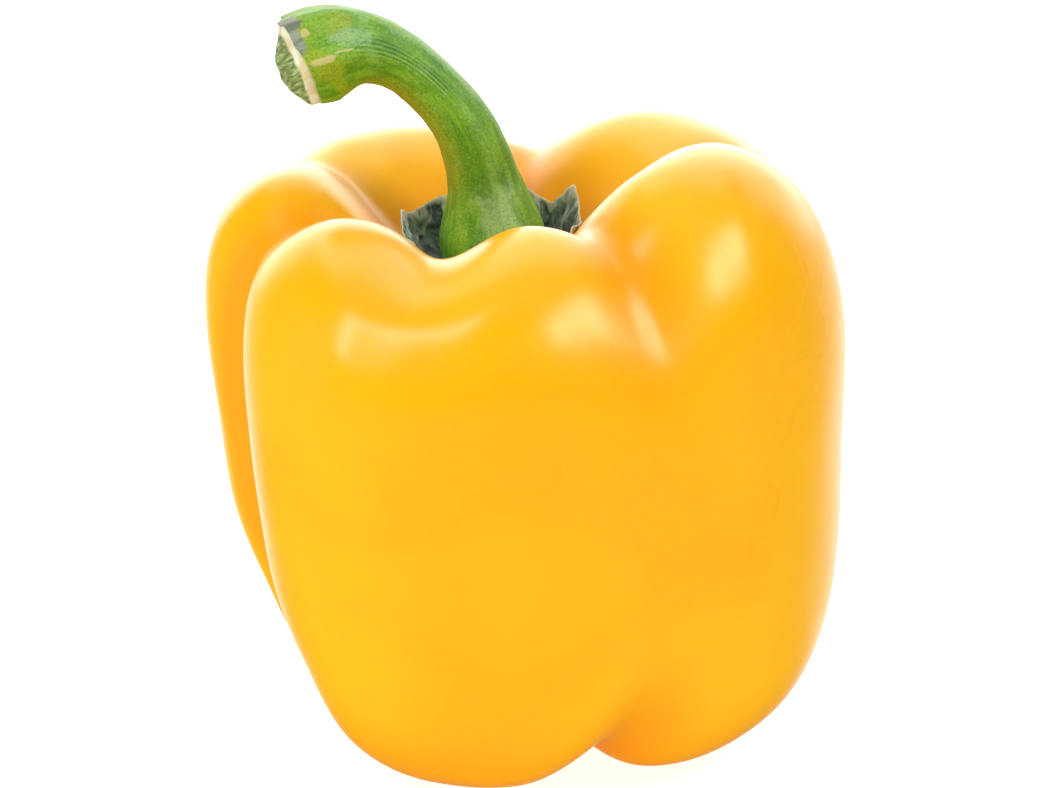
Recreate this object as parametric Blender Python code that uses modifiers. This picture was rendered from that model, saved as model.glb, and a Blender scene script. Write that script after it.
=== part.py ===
"""A yellow bell pepper that stands on its lobes, with its toothed calyx and its cut, bent stem.

Metres, +Z up. The origin is on the surface that the pepper stands on, at the middle of its box.
-Y is the side with the widest lobe, and the stem bends towards -X.
"""

import math
from typing import NamedTuple

import bmesh
import bpy
from mathutils import Vector

MM = 0.001
COLLECTION = "bell_pepper"
CUTTERS = "cutters"

# The skin is a cage of rings from the middle of the sunken top, out over the rim, down the side and
# under to the navel. Subdivision Surface rounds it.
COLUMNS = 48
SUBDIVISIONS = 1
FLOOR_HEIGHT = 68.0
NAVEL_HEIGHT = 8.0
STAND_BLOCK = (120.0, 120.0, 20.0)

# A groove goes over from its strength at the top to that at the side, and from that to the foot's,
# between these heights in mm. Its bottom is rounded over a few degrees.
TOP_ZONE = (55.0, 75.0)
FOOT_ZONE = (30.0, 10.0)
CREASE_EASE = 3.0


class Ring(NamedTuple):
    """One ring of the cage, in mm, and how much of each lobe and groove it takes."""

    radius: float
    height: float
    centre_x: float
    groove_in: float
    groove_down: float
    top_share: float
    side_share: float
    foot_share: float


RINGS = (
    Ring(5.0, 68.0, -5.2, 0.0, 0.0, 0.0, 0.0, 0.0),
    Ring(10.0, 68.0, -5.0, 0.0, 0.0, 0.0, 0.0, 0.0),
    Ring(14.5, 74.0, -4.6, 0.0, 2.2, 0.4, 0.0, 0.0),
    Ring(19.5, 82.0, -3.6, 0.0, 4.4, 0.9, 0.1, 0.0),
    Ring(26.0, 86.0, -2.4, 0.6, 5.4, 1.0, 0.3, 0.0),
    Ring(35.0, 84.0, -1.2, 3.6, 4.6, 0.9, 0.6, 0.0),
    Ring(43.0, 77.0, -0.2, 5.4, 2.0, 0.6, 0.85, 0.0),
    Ring(46.7, 66.0, 0.3, 4.4, 0.0, 0.3, 1.0, 0.0),
    Ring(46.6, 53.0, 0.8, 3.2, 0.0, 0.1, 1.0, 0.05),
    Ring(45.6, 40.0, 1.0, 2.8, 0.0, 0.0, 0.9, 0.15),
    Ring(43.8, 28.0, 1.4, 3.2, 0.0, 0.0, 0.75, 0.4),
    Ring(39.8, 16.5, 2.0, 4.4, -0.6, 0.0, 0.55, 0.7),
    Ring(34.0, 6.5, 0.2, 5.4, -2.6, 0.0, 0.4, 0.95),
    Ring(23.0, -0.2, -1.2, 4.6, -4.6, 0.0, 0.2, 1.0),
    Ring(12.5, 0.3, -1.2, 2.4, -4.6, 0.0, 0.1, 0.85),
    Ring(5.5, 6.0, -1.2, 0.3, -2.0, 0.0, 0.0, 0.3),
)


class Lobe(NamedTuple):
    """A lobe: the azimuth of its crest in degrees, and its rises and reaches in mm."""

    azimuth: float
    top_lift: float
    top_reach: float
    side_reach: float
    foot_lift: float
    foot_reach: float


LOBES = (
    Lobe(-118.0, -3.9, 0.0, 2.0, -1.0, 2.2),
    Lobe(-24.0, 4.5, 2.2, -2.3, -1.0, 4.6),
    Lobe(47.0, 0.4, 3.4, 0.0, -0.8, 0.0),
    Lobe(134.0, -2.8, 3.2, 0.0, -0.9, 0.0),
    Lobe(170.0, -3.8, 3.6, -0.4, 3.2, 0.6),
)


class Groove(NamedTuple):
    """A groove between two lobes: its azimuth, and its strength at the top, the side and the foot."""

    azimuth: float
    top: float
    side: float
    foot: float
    sharpness: float


GROOVES = (
    Groove(-66.0, 1.2, 0.3, 1.4, 4.5),
    Groove(11.0, 1.25, 0.8, 1.0, 2.2),
    Groove(84.0, 1.25, 1.0, 1.0, 2.2),
    Groove(154.0, 0.4, 1.0, 1.0, 2.8),
    Groove(-168.0, 1.5, 3.5, 3.2, 4.2),
)

# The widest lobe has a dip in the middle of its rim.
DIP_AZIMUTH = -111.0
DIP_HALF_WIDTH = 15.0
DIP_DEPTH = 5.0

# The calyx is a thin cup with teeth on its edge, a little clear of the floor of the sunken top. Its rings
# are radius and height, and its teeth azimuth and rise. Its edge is lower at the front, where the widest
# lobe's rim dips.
CALYX_CENTRE_X = -5.2
CALYX_COLUMNS = 54
CALYX_THICKNESS = 1.0
CALYX_RINGS = ((3.5, 68.4), (6.5, 68.5), (8.4, 68.9), (10.0, 70.1), (11.3, 71.9), (12.1, 73.8), (12.5, 75.2))
CALYX_TEETH = ((27.0, 3.7), (68.0, 1.8), (124.0, 1.0), (180.0, 1.7), (232.0, 1.0), (288.0, 1.6), (336.0, 1.2))
TOOTH_HALF_WIDTH = 24.0
CALYX_FRONT = 268.0
FRONT_ZONE = (80.0, 38.0)
FRONT_DROP = 3.4
EDGE_RINGS = 2

# The stem: points along its middle, each with the radius there, and the ribs along it.
STEM_POINTS = (
    ((-4.8, 0.3, 70.5), 7.6),
    ((-5.0, 0.3, 73.2), 8.0),
    ((-5.4, 0.2, 76.8), 6.8),
    ((-6.2, 0.1, 81.2), 5.1),
    ((-7.5, 0.0, 86.2), 4.8),
    ((-10.0, 0.0, 91.0), 4.4),
    ((-13.8, -0.3, 95.4), 4.2),
    ((-18.0, -0.9, 98.9), 4.4),
    ((-22.6, -2.0, 100.8), 5.3),
    ((-27.0, -3.2, 100.7), 7.2),
    ((-30.0, -4.1, 99.8), 7.3),
    ((-32.0, -4.8, 99.2), 6.9),
)
STEM_RIBS = 6
STEM_RIB_DEPTH = 0.055
STEM_SIDES = 30
STEM_STEPS = 3


class Finish(NamedTuple):
    """A plain finish: sRGB colour, roughness and coat."""

    colour: str
    roughness: float
    coat: float


SKIN = Finish("#fcbc12", 0.28, 0.4)
STALK = Finish("#729930", 0.55, 0.0)
DRY_GREEN = Finish("#606a56", 0.8, 0.0)


def clear_scene():
    """Takes away whatever the scene holds."""
    for obj in list(bpy.data.objects):
        bpy.data.objects.remove(obj, do_unlink=True)


def new_collection(name):
    """A new collection in the scene."""
    collection = bpy.data.collections.new(name)
    bpy.context.scene.collection.children.link(collection)
    return collection


def linear_colour(code):
    """The linear RGBA colour of an sRGB hex code."""
    channels = [int(code[place : place + 2], 16) / 255 for place in (1, 3, 5)]
    linear = [c / 12.92 if c <= 0.04045 else ((c + 0.055) / 1.055) ** 2.4 for c in channels]
    return (*linear, 1.0)


def material_of(name, finish):
    """A Principled material of this finish."""
    material = bpy.data.materials.new(name)
    material.use_nodes = True
    shader = material.node_tree.nodes["Principled BSDF"]
    shader.inputs["Base Color"].default_value = linear_colour(finish.colour)
    shader.inputs["Roughness"].default_value = finish.roughness
    shader.inputs["Coat Weight"].default_value = finish.coat
    shader.inputs["Metallic"].default_value = 0.0
    return material


def smoothstep(value):
    """Rises smoothly from 0 at 0 to 1 at 1."""
    value = min(max(value, 0.0), 1.0)
    return value * value * (3 - 2 * value)


def share_through(zone, value):
    """How far a value is through a zone, from 0 at its start to 1 at its end."""
    start, end = zone
    return smoothstep((value - start) / (end - start))


def turn_between(start, end):
    """The turn from one azimuth to another, from -180 to 180 degrees."""
    return (end - start + 180.0) % 360.0 - 180.0


def lobe_value(azimuth, field):
    """A field of the lobes at this azimuth, eased from each crest to the next."""
    after = min(LOBES, key=lambda lobe: (lobe.azimuth - azimuth) % 360.0)
    before = min(LOBES, key=lambda lobe: (azimuth - lobe.azimuth) % 360.0)
    span = (after.azimuth - before.azimuth) % 360.0
    share = smoothstep(((azimuth - before.azimuth) % 360.0) / span) if span else 0.0
    return getattr(before, field) * (1 - share) + getattr(after, field) * share


def eased(turn):
    """A turn in degrees whose corner at nothing is rounded."""
    return math.hypot(turn, CREASE_EASE) - CREASE_EASE


def groove_depth(azimuth, height):
    """How deep the grooves are here, with 1 as a full groove."""
    depth = 0.0
    for groove in GROOVES:
        turn = turn_between(groove.azimuth, azimuth)
        side = 1.0 if turn >= 0 else -1.0
        reach = min((side * (lobe.azimuth - groove.azimuth)) % 360.0 for lobe in LOBES)
        kernel = max(0.0, 1.0 - eased(turn) / eased(reach)) ** groove.sharpness
        towards_top = share_through(TOP_ZONE, height)
        towards_foot = share_through(FOOT_ZONE, height)
        side_share = 1.0 - towards_top - towards_foot
        strength = groove.top * towards_top + groove.side * side_share + groove.foot * towards_foot
        depth += strength * kernel
    return depth


def skin_point(ring, azimuth):
    """The cage's point on this ring at this azimuth, in mm."""
    groove = groove_depth(azimuth, ring.height)
    radius = ring.radius - ring.groove_in * groove
    radius += ring.top_share * lobe_value(azimuth, "top_reach")
    radius += ring.side_share * lobe_value(azimuth, "side_reach")
    radius += ring.foot_share * lobe_value(azimuth, "foot_reach")
    dip = DIP_DEPTH * math.exp(-((turn_between(DIP_AZIMUTH, azimuth) / DIP_HALF_WIDTH) ** 2))
    height = ring.height - ring.groove_down * groove
    height += ring.top_share * (lobe_value(azimuth, "top_lift") - dip)
    height += ring.foot_share * lobe_value(azimuth, "foot_lift")
    angle = math.radians(azimuth)
    return Vector((ring.centre_x + radius * math.cos(angle), radius * math.sin(angle), height))


def object_of(name, bm, collection, material=None):
    """An object in the collection, with the mesh built so far and its material."""
    mesh = bpy.data.meshes.new(name)
    bm.to_mesh(mesh)
    bm.free()
    mesh.shade_smooth()
    if material:
        mesh.materials.append(material)
    obj = bpy.data.objects.new(name, mesh)
    collection.objects.link(obj)
    return obj


def ring_and_azimuth(place, ring_count):
    """Which ring of a unit sphere this point is on, from 0 at its top, and its azimuth in degrees."""
    ring = round(math.acos(max(-1.0, min(1.0, place.z))) / math.pi * ring_count)
    return ring, math.degrees(math.atan2(place.y, place.x))


def make_fruit(collection, cutters):
    """The fruit: a sphere's rings placed by the lobes and grooves, rounded, with flat spots to stand on."""
    bm = bmesh.new()
    last = len(RINGS) + 1
    bmesh.ops.create_uvsphere(bm, u_segments=COLUMNS, v_segments=last, radius=1.0)
    for vertex in bm.verts:
        ring, azimuth = ring_and_azimuth(vertex.co, last)
        if ring == 0:
            place = Vector((RINGS[0].centre_x, 0.0, FLOOR_HEIGHT))
        elif ring == last:
            place = Vector((RINGS[-1].centre_x, 0.0, NAVEL_HEIGHT))
        else:
            place = skin_point(RINGS[ring - 1], azimuth)
        vertex.co = place * MM
    fruit = object_of("fruit", bm, collection, material_of("pepper_skin", SKIN))
    rounding = fruit.modifiers.new("rounding", "SUBSURF")
    rounding.levels = SUBDIVISIONS
    rounding.render_levels = SUBDIVISIONS
    standing = fruit.modifiers.new("flat_spots", "BOOLEAN")
    standing.operation = "DIFFERENCE"
    standing.object = make_stand_block(cutters)
    return fruit


def make_stand_block(cutters):
    """The block below the standing surface, which trims the lobes' feet flat."""
    bm = bmesh.new()
    bmesh.ops.create_cube(bm, size=1.0)
    for vertex in bm.verts:
        vertex.co = Vector(vertex.co[axis] * STAND_BLOCK[axis] for axis in range(3)) * MM
        vertex.co.z -= STAND_BLOCK[2] / 2 * MM
    block = object_of("stand_block", bm, cutters)
    block.hide_render = True
    block.display_type = "WIRE"
    return block


def edge_rise(azimuth):
    """How far the calyx's edge rises at this azimuth, in mm: up in its teeth, and down at the front."""
    turns = ((abs(turn_between(tooth, azimuth)), rise) for tooth, rise in CALYX_TEETH)
    tooth_rise = max(rise * max(0.0, 1.0 - turn / TOOTH_HALF_WIDTH) for turn, rise in turns)
    return tooth_rise - FRONT_DROP * share_through(FRONT_ZONE, abs(turn_between(CALYX_FRONT, azimuth)))


def make_calyx(collection):
    """The calyx: the upper half of a sphere's rings, turned into a toothed cup and given its thickness."""
    bm = bmesh.new()
    sphere_rings = 2 * len(CALYX_RINGS)
    bmesh.ops.create_uvsphere(bm, u_segments=CALYX_COLUMNS, v_segments=sphere_rings, radius=1.0)
    below = [vertex for vertex in bm.verts if ring_and_azimuth(vertex.co, sphere_rings)[0] > len(CALYX_RINGS)]
    bmesh.ops.delete(bm, geom=below, context="VERTS")
    for vertex in bm.verts:
        ring, azimuth = ring_and_azimuth(vertex.co, sphere_rings)
        radius, height = CALYX_RINGS[ring - 1] if ring else (0.0, CALYX_RINGS[0][1])
        edge_share = smoothstep((ring - len(CALYX_RINGS) + EDGE_RINGS) / EDGE_RINGS)
        height += edge_share * edge_rise(azimuth)
        angle = math.radians(azimuth)
        vertex.co = Vector((CALYX_CENTRE_X + radius * math.cos(angle), radius * math.sin(angle), height)) * MM
    calyx = object_of("calyx", bm, collection, material_of("dry_calyx", DRY_GREEN))
    shell = calyx.modifiers.new("thickness", "SOLIDIFY")
    shell.thickness = CALYX_THICKNESS * MM
    shell.offset = 1.0
    return calyx


def make_stem_profile(cutters):
    """The stem's ribbed cross section, as a guide of radius 1 mm."""
    curve = bpy.data.curves.new("stem_profile", "CURVE")
    curve.dimensions = "2D"
    spline = curve.splines.new("POLY")
    spline.points.add(STEM_SIDES - 1)
    for place, point in enumerate(spline.points):
        angle = -2 * math.pi * place / STEM_SIDES
        radius = MM * (1.0 + STEM_RIB_DEPTH * math.cos(STEM_RIBS * angle))
        point.co = (radius * math.cos(angle), radius * math.sin(angle), 0.0, 1.0)
    spline.use_cyclic_u = True
    guide = bpy.data.objects.new("stem_profile", curve)
    guide.hide_render = True
    guide.display_type = "WIRE"
    cutters.objects.link(guide)
    return guide


def make_stem(collection, cutters):
    """The stem: the ribbed section swept along its bend, wider at the foot and at the cut."""
    curve = bpy.data.curves.new("stem", "CURVE")
    curve.dimensions = "3D"
    curve.bevel_mode = "OBJECT"
    curve.bevel_object = make_stem_profile(cutters)
    curve.use_fill_caps = True
    curve.twist_mode = "MINIMUM"
    curve.resolution_u = STEM_STEPS
    spline = curve.splines.new("NURBS")
    spline.points.add(len(STEM_POINTS) - 1)
    for point, (place, radius) in zip(spline.points, STEM_POINTS):
        point.co = (*(Vector(place) * MM), 1.0)
        point.radius = radius
    spline.order_u = 4
    spline.use_endpoint_u = True
    spline.use_smooth = True
    curve.materials.append(material_of("green_stalk", STALK))
    stem = bpy.data.objects.new("stem", curve)
    collection.objects.link(stem)
    return stem


def box_middle(obj):
    """The middle of the object's box across X and Y, with its modifiers, at Z nothing."""
    bpy.context.view_layer.update()
    shown = obj.evaluated_get(bpy.context.evaluated_depsgraph_get())
    corners = [Vector(corner) for corner in shown.bound_box]
    middle = sum(corners, Vector()) / len(corners)
    return Vector((middle.x, middle.y, 0.0))


def main():
    """Makes the pepper, with the middle of its box over the origin."""
    clear_scene()
    pepper = new_collection(COLLECTION)
    cutters = new_collection(CUTTERS)
    fruit = make_fruit(pepper, cutters)
    pieces = (fruit, make_calyx(pepper), make_stem(pepper, cutters))
    shift = box_middle(fruit)
    for piece in pieces:
        piece.location = -shift


main()
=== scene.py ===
"""The looks of a yellow bell pepper: its waxy skin, dry calyx and cut stalk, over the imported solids.

The pepper's sizes are in millimetres and turn to metres where a mesh is made. The studio's are in metres.
+Z is up, the stalk bends towards -X and the camera looks along +Y.
"""

import logging
import math
from dataclasses import dataclass
from enum import Enum
from typing import Protocol

import bpy
import numpy as np
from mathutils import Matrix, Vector, noise


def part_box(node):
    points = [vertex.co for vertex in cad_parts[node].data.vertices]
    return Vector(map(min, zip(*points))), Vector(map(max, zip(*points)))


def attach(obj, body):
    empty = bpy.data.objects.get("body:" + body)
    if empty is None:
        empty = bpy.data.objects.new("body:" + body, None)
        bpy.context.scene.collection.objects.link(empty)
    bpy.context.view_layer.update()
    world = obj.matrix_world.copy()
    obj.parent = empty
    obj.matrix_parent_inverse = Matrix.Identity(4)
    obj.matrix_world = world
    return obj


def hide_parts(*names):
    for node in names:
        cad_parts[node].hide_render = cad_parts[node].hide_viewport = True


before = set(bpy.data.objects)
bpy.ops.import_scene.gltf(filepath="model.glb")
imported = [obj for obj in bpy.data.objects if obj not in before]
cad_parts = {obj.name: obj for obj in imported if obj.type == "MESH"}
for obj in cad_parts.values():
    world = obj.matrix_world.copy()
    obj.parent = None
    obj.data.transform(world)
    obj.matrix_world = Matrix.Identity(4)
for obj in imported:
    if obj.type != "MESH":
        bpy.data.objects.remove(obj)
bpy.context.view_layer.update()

MM = 0.001
BODY = "root"
IMAGE_WIDTH = 1054
log = logging.getLogger("bell_pepper")

Array = np.ndarray
Place = tuple[float, float, float]
Colour = tuple[float, float, float, float]
Sockets = dict[str, object]


class Solid(Enum):
    """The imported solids, by the name of their node."""

    FRUIT = "fruit"
    CALYX = "calyx"
    STALK = "stem"


class Slot(Enum):
    """The record's material slots."""

    SKIN = "pepper_skin"
    CALYX = "dry_calyx"
    STALK = "green_stalk"


def linear(code: str) -> Colour:
    """Turns an sRGB colour to a linear one.

    Args:
        code: the colour as a hex code, such as "#fcbc12".

    Returns:
        Linear red, green and blue, and an alpha of 1.
    """
    channels = [int(code[place : place + 2], 16) / 255 for place in (1, 3, 5)]
    straight = [c / 12.92 if c <= 0.04045 else ((c + 0.055) / 1.055) ** 2.4 for c in channels]
    return (*straight, 1.0)


def per_metre(size: float) -> float:
    """The texture scale that gives features of a size in mm."""
    return 1.0 / (size * MM)


def smoothstep(value: Array | float) -> Array | float:
    """Rises smoothly from 0 at 0 to 1 at 1."""
    held = np.clip(value, 0.0, 1.0)
    return held * held * (3 - 2 * held)


def through(value: Array | float, start: float, end: float) -> Array | float:
    """How far a value is from start to end, eased from 0 to 1."""
    return smoothstep((value - start) / (end - start))


def hump(distance: Array | float, width: float) -> Array | float:
    """A bell curve: 1 at no distance, and near nothing at twice the width."""
    return np.exp(-((distance / width) ** 2))


def turn_between(start: Array | float, end: Array | float) -> Array | float:
    """The turn from one azimuth to another, from -180 to 180 degrees."""
    return (end - start + 180.0) % 360.0 - 180.0


def unit(vectors: Array) -> Array:
    """The vectors along the last axis, each brought to length 1."""
    return vectors / np.maximum(np.linalg.norm(vectors, axis=-1, keepdims=True), 1e-12)


@dataclass(frozen=True)
class Unevenness:
    """Smooth random bumps: how far apart and how deep they are in mm, and how they lie.

    The start moves the pattern, so that no two layers match. An upright share under 1 draws the bumps
    out along Z.
    """

    size: float
    depth: float
    start: float
    upright_share: float = 1.0

    def pattern(self, points: Array) -> Array:
        """The bare pattern, from about -1 to 1, at places in mm with x, y and z along the last axis."""
        places = points.reshape(-1, 3) * (1.0, 1.0, self.upright_share) / self.size + self.start
        return np.array([noise.noise(Vector(place)) for place in places]).reshape(points.shape[:-1])

    def rise(self, points: Array) -> Array:
        """How far the bumps rise at the same places, in mm."""
        return self.depth * self.pattern(points)


def spline_weights(share: Array) -> Array:
    """The weights of a uniform cubic spline's four control points, at shares of its span."""
    back = 1.0 - share
    second = 3 * share**3 - 6 * share**2 + 4
    third = 3 * back**3 - 6 * back**2 + 4
    return np.stack([back**3, second, third, share**3], axis=-1) / 6


def clamped_basis(count: int, shares: Array) -> Array:
    """The weights of a cubic spline's control points, where it starts and ends on its outer ones.

    Args:
        count: the number of control points.
        shares: where to take it, from 0 at the first point to 1 at the last.

    Returns:
        An array with a row for each share and a column for each control point.
    """
    degree = 3
    spans = count - degree
    knots = np.concatenate([np.zeros(degree), np.arange(spans + 1), np.full(degree, spans)])
    place = np.minimum(shares * spans, spans - 1e-9)[:, None]
    basis = ((knots[:-1] <= place) & (place < knots[1:])).astype(float)
    for order in range(1, degree + 1):
        width = knots[order:-1] - knots[: -order - 1]
        next_width = knots[order + 1 :] - knots[1:-order]
        rise = (place - knots[: -order - 1]) / np.where(width > 0, width, 1.0) * (width > 0)
        left = (knots[order + 1 :] - place) * (next_width > 0)
        fall = left / np.where(next_width > 0, next_width, 1.0)
        basis = rise * basis[:, :-1] + fall * basis[:, 1:]
    return basis


@dataclass
class Surface:
    """A closed skin of rings: points in mm, as rows, columns and axes, and their values of each kind."""

    points: Array
    values: dict[str, Array]

    def normals(self) -> Array:
        """Unit normals from the rings' neighbours, out of a surface whose rows run down its outside."""
        across = np.roll(self.points, -1, axis=1) - np.roll(self.points, 1, axis=1)
        along = np.gradient(self.points, axis=0)
        return unit(np.cross(along, across))

    def push(self, distance: Array) -> None:
        """Moves each point along its normal by a distance in mm."""
        self.points = self.points + self.normals() * distance[..., None]

    def shift(self, offset: Array) -> None:
        """Moves every point by the same offset in mm."""
        self.points = self.points + offset

    def mesh(self, name: str) -> bpy.types.Mesh:
        """Joins the rings into a closed mesh, with a middle point at each end.

        Args:
            name: the mesh's name.

        Returns:
            The mesh in metres, smooth, with the values as point attributes.
        """
        rows, columns = self.points.shape[:2]
        ends = [self.points[0].mean(axis=0), self.points[-1].mean(axis=0)]
        places = np.concatenate([self.points.reshape(-1, 3), ends]) * MM
        ring = np.arange(columns)
        following = (ring + 1) % columns
        start = np.arange(rows - 1)[:, None] * columns
        corners = (start + ring, start + columns + ring, start + columns + following, start + following)
        quads = np.stack(corners, axis=-1).reshape(-1, 4).tolist()
        first, last = rows * columns, (rows - 1) * columns
        caps = [(first, a, b) for a, b in zip(ring.tolist(), following.tolist())]
        caps += [(first + 1, last + b, last + a) for a, b in zip(ring.tolist(), following.tolist())]
        mesh = bpy.data.meshes.new(name)
        mesh.from_pydata(places.tolist(), [], quads + caps)
        for key, value in self.values.items():
            rings = value.reshape(rows, columns, -1)
            middles = [rings[:1].mean(axis=1), rings[-1:].mean(axis=1)]
            full = np.concatenate([rings.reshape(rows * columns, -1), *middles])
            kind, field_name = ("FLOAT_VECTOR", "vector") if full.shape[1] == 3 else ("FLOAT", "value")
            attribute = mesh.attributes.new(key, kind, "POINT")
            attribute.data.foreach_set(field_name, full.astype(np.float32).ravel())
        mesh.shade_smooth()
        mesh.validate()
        return mesh


class Finish(Protocol):
    """A finish of the pepper or its studio: anything that makes a material."""

    def material(self) -> bpy.types.Material:
        """Makes the material."""


def place_piece(name: str, surface: Surface, finish: Finish, slot: Slot, solid: Solid) -> None:
    """Puts a surface in the scene as a piece of the pepper.

    Args:
        name: the piece's name.
        surface: its skin, already in place.
        finish: what it is made of, as the eye sees it.
        slot: the record's slot that the finish comes from.
        solid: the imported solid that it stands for.
    """
    mesh = surface.mesh(name)
    mesh.materials.append(finish.material())
    piece = bpy.data.objects.new(name, mesh)
    bpy.context.scene.collection.objects.link(piece)
    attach(piece, BODY)
    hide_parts(solid.value)
    log.info("%s: %d faces, %s", name, len(mesh.polygons), slot.value)


class Easing(Enum):
    """How a layer of colour grows between its start and its end."""

    EVEN = "LINEAR"
    SOFT = "SMOOTHSTEP"


class Graph:
    """The nodes of a material or of the room's light, and the shader that they end in."""

    def __init__(
        self, owner: bpy.types.Material | bpy.types.World, shader: str = "Principled BSDF"
    ) -> None:
        """Starts from the bare shader of a new material or world."""
        self.owner = owner
        self.owner.use_nodes = True
        self.nodes = self.owner.node_tree.nodes
        self.shader = self.nodes[shader]

    def fill(self, node: bpy.types.Node, sockets: Sockets) -> None:
        """Sets or links a node's inputs.

        Args:
            node: the node.
            sockets: a value, or another node's output, for each input's identifier.
        """
        for key, value in sockets.items():
            target = next(socket for socket in node.inputs if socket.identifier == key)
            if isinstance(value, bpy.types.NodeSocket):
                self.owner.node_tree.links.new(value, target)
            else:
                target.default_value = value

    def add(
        self, kind: str, sockets: Sockets, output: str | int = 0, **settings: object
    ) -> bpy.types.NodeSocket:
        """Adds a node with its settings and links.

        Args:
            kind: the node's type, without ShaderNode.
            sockets: a value, or another node's output, for each input's identifier.
            output: the output to hand on, by its number or its identifier.
            settings: the node's own properties.

        Returns:
            The chosen output.
        """
        node = self.nodes.new("ShaderNode" + kind)
        for key, value in settings.items():
            setattr(node, key, value)
        self.fill(node, sockets)
        if isinstance(output, int):
            return node.outputs[output]
        return next(socket for socket in node.outputs if socket.identifier == output)

    def lay(
        self,
        below: object,
        above: str | bpy.types.NodeSocket,
        where: bpy.types.NodeSocket,
        start: float,
        end: float,
        most: float = 1.0,
        easing: Easing = Easing.SOFT,
    ) -> bpy.types.NodeSocket:
        """Lays a new colour over another where a value says.

        Args:
            below: the colour that lies below, as a value or an output.
            above: the new colour, as a hex code or an output.
            where: the value that says where the new colour lies.
            start: the value at which it begins.
            end: the value at which it is at its strongest.
            most: its share there, with 1 hiding what lies below.
            easing: how its share grows from the start to the end.

        Returns:
            The two colours as one.
        """
        band = {"Value": where, "From Min": start, "From Max": end, "To Max": most}
        share = self.add("MapRange", band, interpolation_type=easing.value)
        colour = linear(above) if isinstance(above, str) else above
        mixed = {"Factor_Float": share, "A_Color": below, "B_Color": colour}
        return self.add("Mix", mixed, "Result_Color", data_type="RGBA")


@dataclass(frozen=True)
class WaxyCuticle:
    """Ripe yellow pepper skin, grown with its own wax: glossy and a bit see-through, with painted shade
    that deepens its yellow in its grooves, towards its foot and in its sunken top.

    Its sizes and depths are in mm.
    """

    yellow: str = "#fcb402"
    # Colours of painted shade: the first for the grooves and the foot, the second for the sunken top.
    light_yellow: str = "#fdb903"
    shade_orange: str = "#f58d04"
    bowl_shade_orange: str = "#f68e02"
    fleck: str = "#ffca1c"
    patch_size: float = 24.0
    fleck_size: float = 0.9
    peel_size: float = 1.1
    peel_depth: float = 0.01
    roughness: tuple[float, float] = (0.25, 0.31)
    flesh_depth: float = 2.0
    flesh_tint: tuple[float, float, float] = (1.0, 0.45, 0.1)
    wax_ior: float = 1.4

    def material(self) -> bpy.types.Material:
        """Makes the material: colour from its patches, painted shade in its grooves, foot and sunken top,
        and gloss from its wax.
        """
        graph = Graph(bpy.data.materials.new("pepper_cuticle_waxy"))
        place = graph.add("TexCoord", {}, "Object")
        groove_shade = graph.add("Attribute", {}, "Fac", attribute_name="groove_shade")
        foot = graph.add("Attribute", {}, "Fac", attribute_name="foot")
        bowl_shade = graph.add("Attribute", {}, "Fac", attribute_name="bowl_shade")
        patch_scale = per_metre(self.patch_size)
        fleck_scale = per_metre(self.fleck_size)
        peel_scale = per_metre(self.peel_size)
        patches = graph.add("TexNoise", {"Vector": place, "Scale": patch_scale, "Detail": 2.0})
        flecks = graph.add("TexNoise", {"Vector": place, "Scale": fleck_scale, "Detail": 3.0})
        peel = graph.add("TexNoise", {"Vector": place, "Scale": peel_scale, "Detail": 2.0})
        colour = graph.lay(linear(self.yellow), self.light_yellow, patches, start=0.38, end=0.62)
        colour = graph.lay(colour, self.fleck, flecks, start=0.58, end=0.8, most=0.2)
        # Painted shade: the grooves are coloured deeper, as if shadowed and lit by light bounced between
        # the lobes.
        colour = graph.lay(colour, self.shade_orange, groove_shade, start=0.25, end=1.1, most=0.55)
        # Painted shade: the skin is coloured deeper towards its foot.
        colour = graph.lay(colour, self.shade_orange, foot, start=0.0, end=1.0, most=0.4)
        # Painted shade: the sunken top round the calyx is coloured deeper.
        colour = graph.lay(colour, self.bowl_shade_orange, bowl_shade, start=0.0, end=1.0, most=0.45)
        least, most = self.roughness
        dullness = graph.add("MapRange", {"Value": patches, "To Min": least, "To Max": most})
        graph.fill(graph.shader, {
            "Base Color": colour,
            "Roughness": dullness,
            "Normal": graph.add("Bump", {
                "Height": peel,
                "Distance": self.peel_depth * MM,
                "Strength": 0.5,
            }),
            "IOR": self.wax_ior,
            "Specular IOR Level": 0.28,
            "Subsurface Weight": 0.12,
            "Subsurface Radius": self.flesh_tint,
            "Subsurface Scale": self.flesh_depth * MM,
            "Coat Weight": 0.05,
            "Coat Roughness": 0.2,
            "Coat IOR": self.wax_ior,
        })
        return graph.owner


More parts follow.
